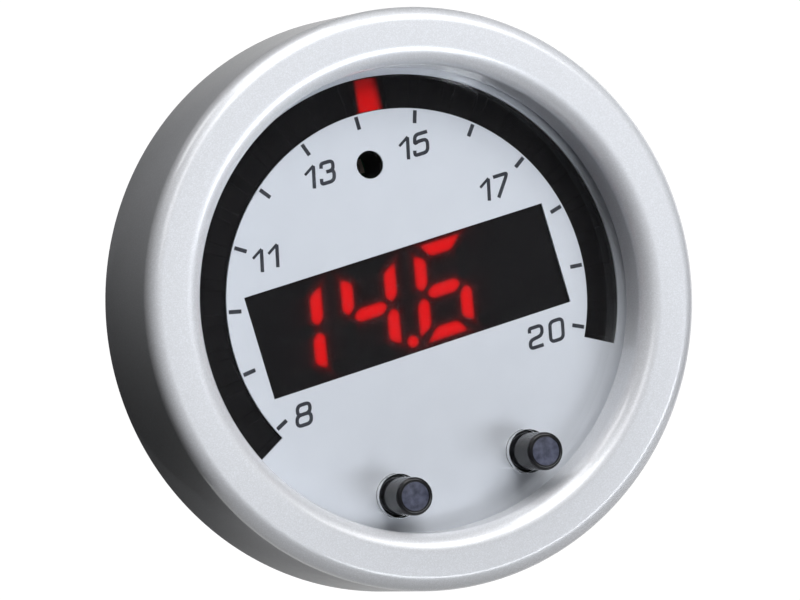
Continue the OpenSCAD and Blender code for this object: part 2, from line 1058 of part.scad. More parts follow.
// Ring on the cup's spigot that the bezel screws on to. It holds the light box,
// its rim holds the filter and the faceplate, and one key lines these two up
module neck_ring() {
  rim_h = face_z - filter_z;
  box_bore_r = light_box_r + slip_gap;
  color([0.16, 0.16, 0.17])
    stand_up()
      union() {
        difference() {
          cylinder(r = neck_r, h = face_z, $fn = round_facets);
          translate([0, 0, -overrun])
            cylinder(r = ring_seat_r + neck_fit, h = spigot_h + overrun, $fn = round_facets);
          translate([0, 0, spigot_h - overrun])
            cylinder(r = box_bore_r, h = filter_z - spigot_h + 2 * overrun, $fn = round_facets);
          translate([0, 0, filter_z - overrun])
            cylinder(r = pocket_r, h = rim_h + 2 * overrun, $fn = round_facets);
        }
        translate([0, -lens_r, filter_z])
          cylinder(r = index_r, h = rim_h);
      }
}

module board_screw() {
  head_z = filter_z - screw_sink - screw_head_h;
  difference() {
    union() {
      translate([0, 0, head_z])
        cylinder(r = screw_head_r, h = screw_head_h);
      translate([0, 0, screw_end_z + screw_point])
        cylinder(r = screw_r, h = head_z - screw_end_z - screw_point);
      translate([0, 0, screw_end_z])
        cylinder(r1 = screw_r / 2, r2 = screw_r, h = screw_point, $fn = tip_facets);
    }
    translate([0, 0, head_z + screw_head_h - screw_drive_depth])
      cylinder(r = screw_drive_r, h = screw_drive_depth + overrun, $fn = hex_sides);
  }
}

module board_screws() {
  color("silver")
    stand_up()
      screw_places()
        board_screw();
}

// Stud with a head and a plain shoulder inside the cup, then a groove at the
// face of its pad and a free shank
module mounting_stud() {
  head_z = stud_boss_top_z - stud_head_h;
  pad_z = cup_back_z - stud_pad_h;
  shank_z = pad_z - stud_groove_w;
  end_z = cup_back_z - stud_reach;
  union() {
    translate([0, 0, head_z])
      cylinder(r = stud_head_r, h = stud_head_h);
    translate([0, 0, pad_z])
      cylinder(r = stud_r + stud_shoulder, h = head_z - pad_z);
    translate([0, 0, shank_z])
      cylinder(r = stud_r - stud_groove_depth, h = stud_groove_w);
    translate([0, 0, end_z + stud_tip])
      cylinder(r = stud_r, h = shank_z - end_z - stud_tip);
    translate([0, 0, end_z])
      cylinder(r1 = stud_r - stud_tip, r2 = stud_r, h = stud_tip, $fn = tip_facets);
  }
}

module mounting_studs() {
  color("silver")
    stand_up()
      for (side = [-1, 1])
        translate([side * stud_x, 0, 0])
          mounting_stud();
}

bezel();
lens();
bezel_seal();
faceplate();
smoke_filter();
light_box();
bar_light_pipes();
lit_light_pipe();
bar_leds();
display_block();
lit_segments();
dark_segments();
display_pins();
display_board();
light_sensor();
mode_switch();
select_switch();
mode_plunger();
select_plunger();
mode_button();
select_button();
board_link();
link_pins();
main_board();
processor_chip();
bus_chip();
regulator();
power_coil();
harness_socket();
harness_pins();
bus_socket();
bus_pins();
housing();
neck_ring();
board_screws();
mounting_studs();
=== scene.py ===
# %% [markdown]
# # An air fuel ratio gauge
# This file dresses a round car gauge that was drawn as solids in CAD. The solids are
# already in their places, so every piece here is built around them, in the same frame:
# X is to the right of the dial, Z is up, and the dial looks along -Y. Sizes are written
# in millimetres, as on a drawing, and turned into metres where a mesh is made.

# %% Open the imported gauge
import math

import bmesh
import bpy
from mathutils import Matrix, Vector


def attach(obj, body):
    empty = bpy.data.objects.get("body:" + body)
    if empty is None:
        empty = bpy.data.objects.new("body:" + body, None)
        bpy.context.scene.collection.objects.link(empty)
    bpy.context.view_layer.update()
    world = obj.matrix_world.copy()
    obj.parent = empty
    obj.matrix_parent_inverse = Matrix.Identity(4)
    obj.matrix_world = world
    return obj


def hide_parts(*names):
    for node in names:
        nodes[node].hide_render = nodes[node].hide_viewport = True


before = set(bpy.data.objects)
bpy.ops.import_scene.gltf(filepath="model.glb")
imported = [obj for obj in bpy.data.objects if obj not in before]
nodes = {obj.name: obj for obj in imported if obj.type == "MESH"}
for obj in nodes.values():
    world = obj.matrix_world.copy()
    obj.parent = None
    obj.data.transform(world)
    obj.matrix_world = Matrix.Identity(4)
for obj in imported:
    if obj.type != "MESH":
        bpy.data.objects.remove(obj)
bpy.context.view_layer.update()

MM = 0.001

# %% [markdown]
# ## The camera first
# The photograph was taken from the left of the dial, a little above it, with a long lens
# and the camera tilted. A long lens keeps circles close to true ellipses, and the tilt is
# a roll about the line of sight. A camera could be set by hand until the picture looks
# right; here its place, aim and roll were worked out from the ellipses of the rim.
# Placing the camera first means that every later choice is judged in the right view.

# %% Camera
camera_place = Vector((-122.163, -340.244, 23.538)) * MM
camera_aim = Vector((-1.067, -8.15, 0.310)) * MM
camera_roll = math.radians(-16.6015)
focal_length = 155.858

lens_data = bpy.data.cameras.new("camera")
lens_data.lens = focal_length
lens_data.sensor_width = 36
lens_data.clip_start = 0.01
lens_data.clip_end = 20
camera = bpy.data.objects.new("camera", lens_data)
bpy.context.scene.collection.objects.link(camera)
sight = (camera_aim - camera_place).to_track_quat("-Z", "Y").to_matrix()
camera.matrix_world = Matrix.Translation(camera_place) @ (
    sight @ Matrix.Rotation(camera_roll, 3, "Z")).to_4x4()
bpy.context.scene.camera = camera
bpy.context.scene.view_settings.view_transform = "Standard"
print("camera distance, mm:", round((camera_aim - camera_place).length / MM, 1))

# %% [markdown]
# ## Drawing on the dial
# A dial is drawn flat: x to the right, y up, and a height above the panel. One function
# turns such a point into a place in the scene, so all the sizes below can be read off
# the dial like a drawing. Another makes a mesh from points and faces: it joins points
# that lie on each other, and turns every face outwards, which saves a lot of care later.

# %% From the dial's drawing to the scene
def on_dial(x, y, height=0.0):
    return Vector((x, -height, y)) * MM


def polar(radius, degrees):
    turn = math.radians(degrees)
    return radius * math.cos(turn), radius * math.sin(turn)


def make_piece(name, points, faces, smooth_below=None):
    mesh = bpy.data.meshes.new(name)
    mesh.from_pydata(points, [], faces)
    cleaner = bmesh.new()
    cleaner.from_mesh(mesh)
    bmesh.ops.remove_doubles(cleaner, verts=cleaner.verts, dist=1e-7)
    bmesh.ops.recalc_face_normals(cleaner, faces=cleaner.faces)
    cleaner.to_mesh(mesh)
    cleaner.free()
    if smooth_below is not None:
        mesh.polygons.foreach_set("use_smooth", [True] * len(mesh.polygons))
        mesh.set_sharp_from_angle(angle=math.radians(smooth_below))
    piece = bpy.data.objects.new(name, mesh)
    bpy.context.scene.collection.objects.link(piece)
    return piece


# %% [markdown]
# Most of this gauge was turned on a lathe or moulded round, so its main tool is a
# revolve: an outline of (radius, height) points carried round an axis. Blender's Screw
# modifier does the same, but a short function of its own can put the axis anywhere on
# the dial. Many steps keep the rim round in a close view.

# %% Turned pieces
def arc(centre, radius, start, end, steps=12):
    return [(centre[0] + polar(radius, start + (end - start) * s / steps)[0],
             centre[1] + polar(radius, start + (end - start) * s / steps)[1])
            for s in range(steps + 1)]


def turned(name, outline, axis=(0, 0), steps=256, smooth_below=35):
    count = len(outline)
    points, faces = [], []
    for step in range(steps):
        for radius, height in outline:
            x, y = polar(radius, 360 * step / steps)
            points.append(on_dial(axis[0] + x, axis[1] + y, height))
    for step in range(steps):
        here, there = step * count, (step + 1) % steps * count
        for i in range(count):
            j = (i + 1) % count
            if outline[i][0] > 0 or outline[j][0] > 0:
                faces.append((here + i, here + j, there + j, there + i))
    return make_piece(name, points, faces, smooth_below)


# %% [markdown]
# ## Bezel
# The bezel is one aluminium turning: a slightly tapered side wall, a rounded outer
# shoulder, a flat crest and a large soft rounding that rolls down into the opening. It
# could be a cylinder with bevels, but a bevel gives each edge the same form, and here
# each is its own. Light reads these roundings more than anything else, so they are drawn
# as true arcs.

# %% Turn the bezel
foot_r, side_top_r, bore_r = 30.1, 29.6, 27.6
opening_r, lens_pocket_r = 23.75, 25.5
crest, lens_top, pocket_low = 14.0, 9.16, 8.16
foot_round, shoulder_round, lip_round = 0.3, 1.6, 1.95

foot_edge = arc((foot_r - foot_round, foot_round), foot_round, -90, 0,
                steps=4)
shoulder = arc((side_top_r - shoulder_round, crest - shoulder_round), shoulder_round,
               0, 90, steps=16)
inner_lip = arc((opening_r + lip_round, crest - lip_round), lip_round, 90, 180, steps=20)
bezel_outline = ([(bore_r, 0.0)] + foot_edge + shoulder + inner_lip +
                 [(opening_r, lens_top), (lens_pocket_r, lens_top),
                  (lens_pocket_r, pocket_low), (bore_r, pocket_low)])
bezel = turned("bezel_turning", bezel_outline)
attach(bezel, "gauge")
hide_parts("bezel")
print("bezel faces:", len(bezel.data.polygons))

# %% [markdown]
# ## Flat plates
# The lens, the printed face and the smoked filter are discs with holes. Holes could be
# cut one by one with Boolean modifiers, but Blender's 2D curves fill such a drawing by
# themselves: an outline inside another becomes a hole. The curve is given a thickness
# and a tiny bevel, and then turned into a mesh.

# %% Plates with holes
def circle(radius, centre=(0, 0), steps=256):
    return [(centre[0] + polar(radius, 360 * s / steps)[0],
             centre[1] + polar(radius, 360 * s / steps)[1]) for s in range(steps)]


def plate(name, outlines, low, high, bevel):
    drawing = bpy.data.curves.new(name + "_drawing", "CURVE")
    drawing.dimensions = "2D"
    drawing.fill_mode = "BOTH"
    drawing.extrude = (high - low) / 2 - bevel
    drawing.bevel_depth = bevel
    drawing.bevel_resolution = 2
    drawing.offset = -bevel
    for outline in outlines:
        line = drawing.splines.new("POLY")
        line.points.add(len(outline) - 1)
        line.points.foreach_set("co", [v for x, y in outline for v in (x, y, 0, 1)])
        line.use_cyclic_u = True
    sketch = bpy.data.objects.new(name + "_drawing", drawing)
    bpy.context.scene.collection.objects.link(sketch)
    bpy.context.view_layer.update()
    mesh = bpy.data.meshes.new_from_object(sketch)
    bpy.data.objects.remove(sketch)
    middle = (low + high) / 2
    points = [on_dial(v.co.x, v.co.y, v.co.z + middle) for v in mesh.vertices]
    faces = [tuple(f.vertices) for f in mesh.polygons]
    bpy.data.meshes.remove(mesh)
    return make_piece(name, points, faces, smooth_below=12)


# %% [markdown]
# The face has a curved window for the ring of lights, a wide window for the digits, a
# hole for the light sensor and two holes for the keys. Each outline is drawn once, and
# the lens, the face and the filter take the ones they need, so the holes line up
# through all three.

# %% Holes in the dial
disc_r = 25.4
band_in, band_out, band_half_span = 19.7, 23.2, 118.2
window_w, window_h = 34.0, 10.7
sensor_r, sensor_y = 1.44, 14.44
key_x, key_y, key_hole_r = 7.466, -18.62, 2.25
key_axes = {"mode": (-key_x, key_y), "select": (key_x, key_y)}

band_steps = 160
band_turns = [90 + band_half_span - 2 * band_half_span * s / band_steps
              for s in range(band_steps + 1)]
band_window = ([polar(band_out, t) for t in band_turns] +
               [polar(band_in, t) for t in reversed(band_turns)])
digit_window = [(-window_w / 2, -window_h / 2), (window_w / 2, -window_h / 2),
                (window_w / 2, window_h / 2), (-window_w / 2, window_h / 2)]
key_holes = [circle(key_hole_r, axis, steps=96) for axis in key_axes.values()]
sensor_hole = circle(sensor_r, (0, sensor_y), steps=64)
print("band, degrees:", 2 * band_half_span, "window, mm:", window_w, "x", window_h)

# %% [markdown]
# The three discs are stacked with a little air between them: the smoked filter at the
# bottom, the printed face on it, and the clear lens over both. A solid face would hide
# the lights, and one painted black would look flat, so the windows are real holes and
# the dark in them is the filter below.

# %% Faceplate, lens and filter
smoke_low, smoke_top = 6.58, 7.35
face_low, face_top = 7.37, 7.64
lens_low = 7.70
sheet_bevel, lens_bevel = 0.02, 0.08

faceplate = plate("dial_face", [circle(disc_r), band_window, digit_window, sensor_hole] +
                  key_holes, face_low, face_top, sheet_bevel)
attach(faceplate, "gauge")
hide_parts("faceplate")

lens = plate("lens_disc", [circle(disc_r)] + key_holes, lens_low, lens_top, lens_bevel)
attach(lens, "gauge")
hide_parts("lens")

smoke = plate("smoked_disc", [circle(disc_r), sensor_hole] + key_holes, smoke_low,
              smoke_top, sheet_bevel)
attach(smoke, "gauge")
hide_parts("smoke_filter")
print("plates:", [len(p.data.polygons) for p in (faceplate, lens, smoke)], "faces")

# %% [markdown]
# ## Print on the face
# The ticks and numbers could be a picture laid on the face, but a picture blurs when the
# camera comes close. They are drawn the way a pen plotter would, and the plotter starts
# with a centre line for each stroke. Its corners are rounded: each one is replaced by a
# short curve between two points on the lines that meet there.

# %% Lines with rounded corners
# A corner may use up at most this share of the line on each side of it
corner_share = 0.49


def rounded_line(points, radius, closed=False, steps=6):
    line = []
    for i, here in enumerate(points):
        corner = Vector(here)
        if not closed and i in (0, len(points) - 1):
            line.append(corner)
            continue
        back = Vector(points[i - 1]) - corner
        ahead = Vector(points[(i + 1) % len(points)]) - corner
        cut = min(radius, corner_share * back.length, corner_share * ahead.length)
        start, end = corner + back.normalized() * cut, corner + ahead.normalized() * cut
        line += [start.lerp(corner, s / steps).lerp(corner.lerp(end, s / steps), s / steps)
                 for s in range(steps + 1)]
    return line


# %% [markdown]
# The ink lies on the face as a very thin layer. Each stroke is a band of even width laid
# along its centre line, with a top, a bottom and two sides. Drawn like this, the numbers
# keep one stroke width however the shapes are leaned.

# %% Strokes of ink
ink_sink, ink_rise = 0.01, 0.014
ink_low, ink_high = face_top - ink_sink, face_top + ink_rise
# A sharper bend than this would throw its outer corner too far out
sharpest_bend = 0.5


def stroke(points, faces, line, width, closed=False, lift=0.0):
    count = len(line)
    first = len(points)
    for i, here in enumerate(line):
        ways = []
        if closed or i > 0:
            ways.append((here - line[i - 1]).normalized())
        if closed or i < count - 1:
            ways.append((line[(i + 1) % count] - here).normalized())
        way = sum(ways, Vector((0, 0))).normalized()
        reach = width / 2 / max(sharpest_bend, way.dot(ways[0]))
        across = Vector((-way.y, way.x)) * reach
        left, right = here + across, here - across
        points += [on_dial(left.x, left.y, ink_high + lift),
                   on_dial(right.x, right.y, ink_high + lift),
                   on_dial(right.x, right.y, ink_low), on_dial(left.x, left.y, ink_low)]
    for i in range(count if closed else count - 1):
        a, b = first + 4 * i, first + 4 * ((i + 1) % count)
        faces += [(a + k, b + k, b + (k + 1) % 4, a + (k + 1) % 4) for k in range(4)]
    if not closed:
        last = first + 4 * (count - 1)
        faces += [(first, first + 1, first + 2, first + 3),
                  (last + 3, last + 2, last + 1, last)]


# %% [markdown]
# Only the digits that the scale needs are drawn. A ready font would be quicker, but none
# has quite these shapes: tight arcs at the corners, as on the squared numbers that many
# gauges have, and a lean to the right. Each digit is one or two lines of corners, in
# millimetres from its lower left.

# %% Shapes of the numbers
number_lean = math.tan(math.radians(13.5))
number_stroke, flag_stroke = 0.375, 0.28
number_round = 0.5
DIGITS = {
    "0": [([(0, 0), (1.48, 0), (1.48, 2.02), (0, 2.02)], True, number_stroke)],
    "1": [([(0.07, -0.18), (0.11, 2.04)], False, number_stroke),
          ([(0.13, 2.08), (-0.87, 1.39)], False, flag_stroke)],
    "2": [([(-0.02, 1.56), (-0.02, 2.02), (1.44, 2.02), (1.44, 1.01), (0, 0.81),
            (0, 0), (1.53, 0)], False, number_stroke)],
    "3": [([(0.14, 1.54), (0.14, 2.02), (1.46, 2.02), (1.46, 1.07), (0.68, 1.07)], False,
           number_stroke),
          ([(0.68, 1.07), (1.53, 1.07), (1.53, 0), (0.10, 0), (0.10, 0.55)], False,
           number_stroke)],
    "5": [([(1.54, 2.02), (0.10, 2.02), (0.05, 1.15), (0.44, 1.30), (1.49, 1.30), (1.49, 0),
            (0, 0), (0, 0.5)], False, number_stroke)],
    "7": [([(0, 2.02), (1.59, 2.02), (1.44, 1.62), (0.50, -0.17)], False, number_stroke)],
    "8": [([(0.27, 1.05), (1.67, 1.05), (1.67, 2.02), (0.27, 2.02)], True, number_stroke),
          ([(0.17, 0), (1.74, 0), (1.74, 1.05), (0.17, 1.05)], True, number_stroke)],
}
print("digits drawn:", sorted(DIGITS))

# %% [markdown]
# The thirteen ticks stand at even steps round the inner edge of the band, and the
# numbers below them. Where two strokes of a digit cross, their tops would lie in one
# plane, and the renderer can't tell which of them is in front: the crossing turns black.
# A rise of three thousandths of a millimetre from stroke to stroke cures that.

# %% Print the ticks and numbers
tick_count, tick_step, tick_stroke = 13, 19.2, 0.41
tick_in_share, tick_out_share = 0.922, 0.99
stroke_rise = 0.003
# Digit, and its lower left corner as shares of the inner radius of the band
NUMBERS = [("1", -0.3305, 0.7087), ("3", -0.289, 0.7087), ("1", 0.2125, 0.7087),
           ("5", 0.2545, 0.7087), ("1", -0.7300, 0.3785), ("1", -0.6430, 0.3785),
           ("1", 0.5813, 0.3765), ("7", 0.615, 0.3765), ("8", -0.797, -0.4435),
           ("2", 0.569, -0.4425), ("0", 0.690, -0.4425)]

ink_points, ink_faces = [], []
for place in range(tick_count):
    turn = 90 + tick_step * (place - tick_count // 2)
    inner = Vector(polar(tick_in_share * band_in, turn))
    outer = Vector(polar(tick_out_share * band_in, turn))
    stroke(ink_points, ink_faces, [inner, outer], tick_stroke)
for digit, across, up in NUMBERS:
    for layer, (shape, closed, width) in enumerate(DIGITS[digit]):
        line = rounded_line(shape, number_round, closed)
        line = [Vector((across * band_in + p.x + p.y * number_lean, up * band_in + p.y))
                for p in line]
        stroke(ink_points, ink_faces, line, width, closed, lift=stroke_rise * layer)
dial_ink = make_piece("dial_ink", ink_points, ink_faces)
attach(dial_ink, "gauge")
print("print:", len(ink_faces), "faces")

# %% [markdown]
# ## Keys
# Two black keys stand well out of the lens. Each is a straight pin with a small rounded
# rim and a shallow dish in its end, and a flange inside that stops it from falling out.
# They are turned too, each about its own axis, so the function of the bezel serves
# again. They ride on their own bodies, so that they press in. A mark on the points of
# the dish lets the material tell the dish from the shank.

# %% Turn the keys
key_r, key_end, rim_round = 1.95, 13.56, 0.35
dish_r, dish_depth = key_r - 1.3 * rim_round, 0.14
dish_edge_round, dish_edge_shift, dish_floor_r = 0.09, 0.02, dish_r - 0.06
flange_r, flange_low, flange_high = 2.85, 4.70, 5.40
dish_steps = 12
# What is nearer to the end and to the axis than this belongs to the dish
marked_depth, marked_r = 0.2, dish_r - 0.03


def key_outline():
    rim = arc((key_r - rim_round, key_end - rim_round), rim_round, 0, 90,
              steps=10)
    lip = arc((dish_r + dish_edge_shift, key_end - dish_edge_round), dish_edge_round,
              90, 150, steps=4)
    sphere = (dish_r ** 2 + dish_depth ** 2) / (2 * dish_depth)
    dish = []
    for step in range(dish_steps, -1, -1):
        radius = dish_floor_r * step / dish_steps
        sag = sphere - math.sqrt(sphere ** 2 - radius ** 2)
        dish.append((radius, key_end - dish_depth + sag))
    return ([(0, flange_low), (flange_r, flange_low), (flange_r, flange_high),
             (key_r, flange_high)] + rim + lip + dish)


keys = {}
for name, axis in key_axes.items():
    key = turned(name + "_key_cap", key_outline(), axis, steps=96, smooth_below=40)
    mask = key.data.attributes.new("dish", "FLOAT", "POINT")
    for i, corner in enumerate(key.data.vertices):
        away = math.hypot(corner.co.x / MM - axis[0], corner.co.z / MM - axis[1])
        on_end = -corner.co.y / MM > key_end - marked_depth
        mask.data[i].value = 1.0 if on_end and away < marked_r else 0.0
    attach(key, name + "_key")
    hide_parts(name + "_button")
    keys[name] = key
print("keys:", {n: len(k.data.polygons) for n, k in keys.items()})

# %% [markdown]
# ## Digits
# Each digit has seven bars and a point, leaned to the right. A bar is drawn as its
# corners in an upright digit and then leaned, because the makers of such displays do
# the same: all the bars share one width and one gap, and the tips are cut at a slant so
# that neighbours fit.

# %% Bars of a digit
digit_pitch, digit_shift, digit_w, digit_h = 8.4, 0.16, 4.897, 9.9
bar_w, bar_gap, point_r = 1.428, 0.12, 0.697
digit_lean = math.tan(math.radians(12))
# Shares of a bar's width: its pointed tip, the slant of the top and bottom bars, how far
# the middle bar reaches between its neighbours, and the shift of the point
tip_share, mitre_share, middle_reach_share, point_shift_share = 0.45, 0.25, 0.27, 0.87


def leaned(points, across):
    return [Vector((across + x + y * digit_lean, y)) for x, y in points]


def bar_shape(kind):
    half_w, half_x, half_y = bar_w / 2, digit_w / 2, (digit_h - bar_w) / 2
    tip = tip_share * bar_w
    if kind in ("top", "bottom"):
        up = 1 if kind == "top" else -1
        outer = half_x + half_w - bar_gap - tip
        inner = half_x - half_w - bar_gap - mitre_share * bar_w
        return [(-outer, up * (half_y + half_w)), (outer, up * (half_y + half_w)),
                (inner, up * (half_y - half_w)), (-inner, up * (half_y - half_w))]
    if kind == "middle":
        outer = half_x - half_w - bar_gap + middle_reach_share * bar_w
        inner = outer - tip
        return [(-outer, 0), (-inner, half_w), (inner, half_w), (outer, 0),
                (inner, -half_w), (-inner, -half_w)]
    up = 1 if kind.startswith("upper") else -1
    side = 1 if kind.endswith("right") else -1
    near = 2 * bar_gap
    return [(side * (half_x - half_w), up * (near + tip)), (side * half_x, up * near),
            (side * (half_x + half_w), up * (near + tip)),
            (side * (half_x + half_w), up * (half_y + half_w - bar_gap - tip)),
            (side * (half_x - half_w), up * (half_y - half_w - bar_gap))]


# %% [markdown]
# The display shows 14.6 on the first three of its four digits. Only the lit bars are
# made here, since the dark ones are plain solids that hardly show. Their outlines are
# all turned the same way round, so that "outwards" means the same for each.

# %% The bars that are lit
digit_count, point_corners = 4, 8
LIT = [["upper_right", "lower_right"],
       ["upper_right", "lower_right", "upper_left", "middle", "point"],
       ["top", "lower_right", "bottom", "lower_left", "upper_left", "middle"]]


def turn_left(shape):
    area = sum(a.x * b.y - b.x * a.y for a, b in zip(shape, shape[1:] + shape[:1]))
    return shape if area > 0 else shape[::-1]


lit_shapes = []
for place, kinds in enumerate(LIT):
    across = (place - (digit_count - 1) / 2) * digit_pitch + digit_shift
    for kind in kinds:
        if kind == "point":
            middle = digit_w / 2 + point_shift_share * bar_w + point_r
            centre = leaned([(middle, point_r - digit_h / 2)], across)[0]
            lit_shapes.append([centre + Vector(polar(point_r, 360 * s / point_corners))
                               for s in range(point_corners)])
        else:
            lit_shapes.append(turn_left(leaned(bar_shape(kind), across)))
print("lit shapes:", len(lit_shapes))

# %% [markdown]
# A real lit bar is brightest in its middle and fades at its rim, and a light with one
# strength would look like a sticker. So a lit piece carries a number at each point of
# its mesh, its glow, that the material reads later. A smaller outline inside a bar comes
# from moving each edge along its own normal and finding where the moved edges meet. All
# bars are convex, so that is all it takes.

# %% Helpers for lit pieces
sharpest_corner = 0.3


def moved_edges(shape, by):
    result = []
    count = len(shape)
    for i in range(count):
        before, here, after = shape[i - 1], shape[i], shape[(i + 1) % count]
        one, two = (here - before).normalized(), (after - here).normalized()
        out_one, out_two = Vector((one.y, -one.x)), Vector((two.y, -two.x))
        both = (out_one + out_two).normalized()
        result.append(here + both * by / max(sharpest_corner, both.dot(out_one)))
    return result


def glowing_piece(name, points, faces, glows):
    mesh = bpy.data.meshes.new(name)
    mesh.from_pydata(points, [], faces)
    mesh.attributes.new("glow", "FLOAT", "POINT").data.foreach_set("value", glows)
    piece = bpy.data.objects.new(name, mesh)
    bpy.context.scene.collection.objects.link(piece)
    return piece


# %% [markdown]
# The lit bars are small red diffusers with rounded corners. Each is drawn as rings, one
# inside the other, from a dim one just outside the bar to a bright one in its middle,
# and closed with a wall and a back.

# %% Lit bars with their glow
bar_front, bar_depth = 6.46, 0.5
# Distance outwards from the rim of a bar, and the glow there
BAR_GLOW = [(0.05, 0.12), (-0.05, 0.36), (-0.17, 0.68), (-0.32, 0.90), (-0.50, 1.0)]
rim_corner, corner_change = 0.62, 0.5

points, faces, glows = [], [], []
for shape in lit_shapes:
    rings = [rounded_line(moved_edges(shape, by), rim_corner + by * corner_change,
                          closed=True)
             for by, glow in BAR_GLOW]
    count = len(rings[0])
    base = len(points)
    points += [on_dial(p.x, p.y, bar_front - bar_depth) for p in rings[0]]
    glows += [BAR_GLOW[0][1]] * count
    for ring, (by, glow) in zip(rings, BAR_GLOW):
        points += [on_dial(p.x, p.y, bar_front) for p in ring]
        glows += [glow] * count
    for level in range(len(rings)):
        for i in range(count):
            a, b = base + level * count + i, base + level * count + (i + 1) % count
            faces.append((a, b, b + count, a + count))
    faces.append(tuple(range(base + len(rings) * count, base + (len(rings) + 1) * count)))
    faces.append(tuple(range(base + count - 1, base - 1, -1)))
lit_bars = glowing_piece("lit_bars", points, faces, glows)
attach(lit_bars, "gauge")
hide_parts("lit_segments")
print("lit bars:", len(faces), "faces")

# %% [markdown]
# Two pieces have a front that glows unevenly: the block round the digits and the lit
# light of the ring. Both are blocks whose front is a fine grid. One function makes the
# grid, asks for the place and glow of each of its points, and closes it with walls and a
# back.

# %% Block with a glowing front
def glowing_block(name, columns, rows, front, low, high):
    points, faces, glows = [], [], []
    for row in range(rows + 1):
        for column in range(columns + 1):
            x, y, glow = front(column / columns, row / rows)
            points.append(on_dial(x, y, high))
            glows.append(glow)
    wide = columns + 1
    for row in range(rows):
        for column in range(columns):
            a = row * wide + column
            faces.append((a, a + 1, a + wide + 1, a + wide))
    rim = (list(range(wide)) +
           [row * wide + columns for row in range(1, rows + 1)] +
           [rows * wide + column for column in range(columns - 1, -1, -1)] +
           [row * wide for row in range(rows - 1, 0, -1)])
    base = len(points)
    points += [Vector((points[i].x, -low * MM, points[i].z)) for i in rim]
    glows += [0.0] * len(rim)
    for k in range(len(rim)):
        m = (k + 1) % len(rim)
        faces.append((rim[m], rim[k], base + k, base + m))
    faces.append(tuple(range(base + len(rim) - 1, base - 1, -1)))
    return glowing_piece(name, points, faces, glows)


# %% [markdown]
# The black block round the bars is not quite black next to them: some of the red light
# creeps through the moulding. Fog or a blur over the finished picture could show that,
# but only from one side. Here each point's glow falls with its distance from the
# nearest lit bar: quickly at first, and then slowly.

# %% Display block with its haze
block_half_w, block_half_h = 17.3, 6.2
block_low, block_high = 2.2, 6.44
haze_step = 0.2
# Two hazes, each with its level at the rim of a bar and its reach
HAZES = [(0.10, 0.22), (0.012, 0.9)]


def distance_out(shape, spot):
    far = []
    for here, there in zip(shape, shape[1:] + shape[:1]):
        way = (there - here).normalized()
        far.append((spot - here).dot(Vector((way.y, -way.x))))
    return max(far)


def display_front(across, up):
    spot = Vector((block_half_w * (2 * across - 1), block_half_h * (2 * up - 1)))
    gap = max(0.0, min(distance_out(shape, spot) for shape in lit_shapes))
    return spot.x, spot.y, sum(level * math.exp(-gap / reach) for level, reach in HAZES)


display_body = glowing_block("display_body", round(2 * block_half_w / haze_step),
                             round(2 * block_half_h / haze_step), display_front,
                             block_low, block_high)
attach(display_body, "gauge")
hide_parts("display_block")
print("display block:", len(display_body.data.polygons), "faces")

# %% [markdown]
# ## The lit light of the ring
# One light of the ring is on, a little to the right of the top. Its light pipe is a
# small block of the ring. Its front is a fine grid too: brightest near the inner side,
# darker outwards, and soft at both ends. A soft step gives a smoother edge than a
# straight one, which would show as a line.

# %% Lit light pipe
pipe_middle, pipe_half_span = 85.075, 3.30
pipe_in, pipe_out = 19.82, 23.08
pipe_low, pipe_high = 3.25, 6.55
across_steps, out_steps = 28, 20
# Ends of the glow in degrees from the pipe's middle, and how much they close in outwards
glow_left, glow_right, glow_taper = -2.2, 5.0, 0.8
left_fade, right_fade_in, right_fade_out = 0.8, 2.2, 0.7
outer_loss, loss_start = 0.60, 0.3


def soft_step(value, start, end):
    t = min(1.0, max(0.0, (value - start) / (end - start)))
    return t * t * (3 - 2 * t)


def pipe_glow(offset, share):
    left, right = glow_left + glow_taper * share, glow_right - glow_taper * share
    ends = soft_step(offset, left - left_fade, left + left_fade)
    ends *= 1 - soft_step(offset, right - right_fade_in, right + right_fade_out)
    return ends * (1.0 - outer_loss * soft_step(share, loss_start, 1.0))


def on_ring(offset, share):
    return polar(pipe_in + (pipe_out - pipe_in) * share, pipe_middle - offset)


def pipe_front(across, share):
    offset = pipe_half_span * (2 * across - 1)
    return (*on_ring(offset, share), pipe_glow(offset, share))


lit_pipe = glowing_block("lit_pipe", across_steps, out_steps, pipe_front, pipe_low,
                         pipe_high)
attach(lit_pipe, "gauge")
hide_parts("lit_light_pipe")
print("lit pipe:", len(lit_pipe.data.polygons), "faces")

# %% [markdown]
# The wall between two lights stops just under the smoked filter, and some light creeps
# over it. A wider lit pipe would cut through that wall. Instead a leaf of light a
# hundredth of a millimetre thick lies on the wall and carries the glow of the lit pipe
# on until it is gone.

# %% Light over the next wall
creep_start, creep_end, creep_steps = pipe_half_span + 0.02, 6.0, 12
creep_low, creep_high = 6.558, 6.570

points, faces, glows = [], [], []
for i in range(creep_steps + 1):
    offset = creep_start + (creep_end - creep_start) * i / creep_steps
    for j in range(out_steps + 1):
        share = j / out_steps
        x, y = on_ring(offset, share)
        points += [on_dial(x, y, creep_high), on_dial(x, y, creep_low)]
        glows += [pipe_glow(offset, share)] * 2
row = 2 * (out_steps + 1)
for i in range(creep_steps):
    for j in range(out_steps):
        a = i * row + 2 * j
        faces += [(a, a + row, a + row + 2, a + 2),
                  (a + 1, a + 3, a + row + 3, a + row + 1)]
    a, b = i * row, i * row + row - 2
    faces += [(a, a + 1, a + row + 1, a + row), (b, b + row, b + row + 1, b + 1)]
for j in range(out_steps):
    a, b = 2 * j, creep_steps * row + 2 * j
    faces += [(a, a + 2, a + 3, a + 1), (b, b + 1, b + 3, b + 2)]
light_creep = glowing_piece("light_creep", points, faces, glows)
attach(light_creep, "gauge")
print("light creep:", len(faces), "faces")

